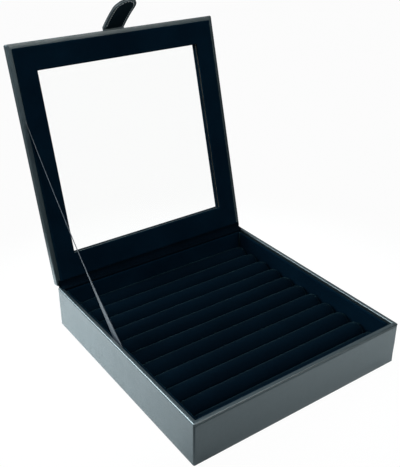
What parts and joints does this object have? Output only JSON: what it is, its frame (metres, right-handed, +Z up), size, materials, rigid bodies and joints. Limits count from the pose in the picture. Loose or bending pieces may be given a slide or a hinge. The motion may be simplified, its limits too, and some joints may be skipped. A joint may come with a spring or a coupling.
{
  "type": "ring display box",
  "caption": "Shallow leatherette case with padded velvet ring rolls and a glazed lid that leans back on a stay ribbon and closes with a soft magnetic tab.",
  "frame": {"origin": "middle of the base's underside", "axes": "+Z up, +X to the right along the ring rolls, +Y towards the hinge; the opening tab is at the front, -Y, when the lid is closed"},
  "size_m": [0.22, 0.2947, 0.2916],
  "materials": {
    "leatherette": "fine-grained black leatherette with a soft shine",
    "velvet": "short black velvet with a cool tint",
    "padded_velvet": "black velvet over foam, brushed along the rolls",
    "satin": "black satin ribbon with a bright sheen",
    "board": "grey binder's board, hidden",
    "card": "thin grey card, hidden",
    "underside_paper": "matt black embossed paper",
    "glass": "clear float glass",
    "steel": "thin steel plate, hidden",
    "magnet": "plated disc magnet, hidden"
  },
  "bodies": {
    "base": {"bottom_cover": "underside_paper", "floor_board": "board", "front_wall_board": "board", "back_wall_board": "board", "left_wall_board": "board", "right_wall_board": "board", "base_wrap": "leatherette", "front_liner": "velvet", "back_liner": "velvet", "left_liner": "velvet", "right_liner": "velvet", "insert_board": "card", "insert_velvet": "velvet", "ring_roll_01": "padded_velvet", "ring_roll_02": "padded_velvet", "ring_roll_03": "padded_velvet", "ring_roll_04": "padded_velvet", "ring_roll_05": "padded_velvet", "ring_roll_06": "padded_velvet", "ring_roll_07": "padded_velvet", "ring_roll_08": "padded_velvet", "ring_roll_09": "padded_velvet", "ring_roll_10": "padded_velvet", "ring_roll_11": "padded_velvet", "catch_plate": "steel", "stay_ribbon": "satin", "hinge_strip": "leatherette", "hinge_tape": "leatherette"},
    "lid": {"lid_front_rail": "board", "lid_back_rail": "board", "lid_left_rail": "board", "lid_right_rail": "board", "lid_wrap": "leatherette", "window_pane": "glass", "panel_board": "card", "panel_velvet": "velvet", "tab_root": "leatherette"},
    "tab": {"tab_outer": "leatherette", "tab_core": "card", "tab_inner": "leatherette", "tab_magnet": "magnet"}
  },
  "joints": [
    {"name": "lid_hinge", "type": "hinge", "parent": "base", "child": "lid", "pos_m": [0, 0.11335, 0.0422], "axis": [1, 0, 0], "range_deg": [0, 104.8], "deforming": ["stay_ribbon", "hinge_strip", "hinge_tape"]},
    {"name": "tab_flex", "type": "hinge", "parent": "lid", "child": "tab", "pos_m": [0, 0.1804, 0.26036], "axis": [1, 0, 0], "range_deg": [-55, 27], "stiffness_Nm_per_rad": 0.004}
  ]
}
